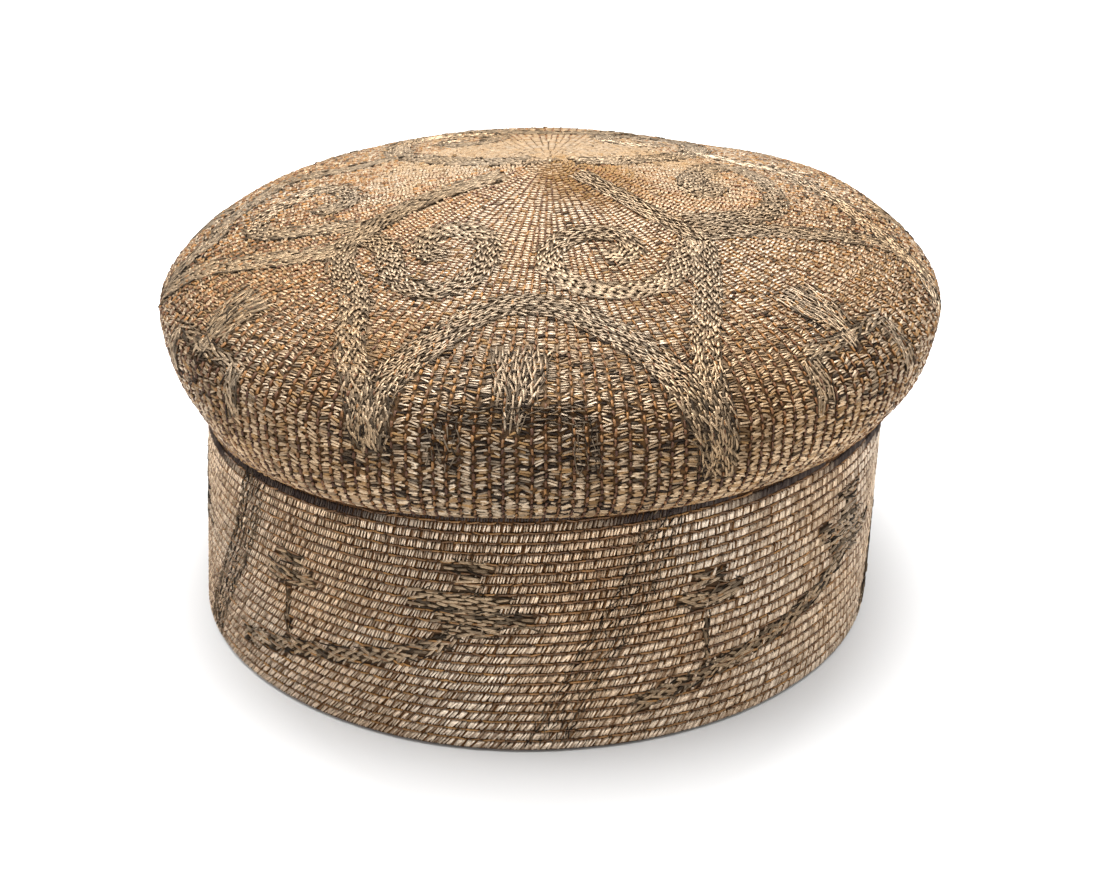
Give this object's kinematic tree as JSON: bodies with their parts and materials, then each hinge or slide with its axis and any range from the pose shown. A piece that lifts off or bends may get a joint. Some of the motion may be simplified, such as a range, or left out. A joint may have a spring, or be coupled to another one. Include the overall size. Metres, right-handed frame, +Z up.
{
  "type": "tubeteika skullcap",
  "caption": "Round cap with a puffed, pointed crown overhanging an upright band, covered in couched metal thread with scroll embroidery.",
  "frame": {"origin": "on the surface it rests on, under the middle of the crown", "axes": "+Z up through the peak of the crown, the front of the cap faces -Y"},
  "size_m": [0.2044, 0.2024, 0.121],
  "materials": {
    "crown_thread": "aged gilt thread couched with orange silk in upright ribs, worn to a soft metallic sheen",
    "band_thread": "tarnished silver-gilt thread couched in level rows with brown silk"
  },
  "bodies": {
    "root": {"crown": "crown_thread", "band": "band_thread"}
  },
  "joints": []
}
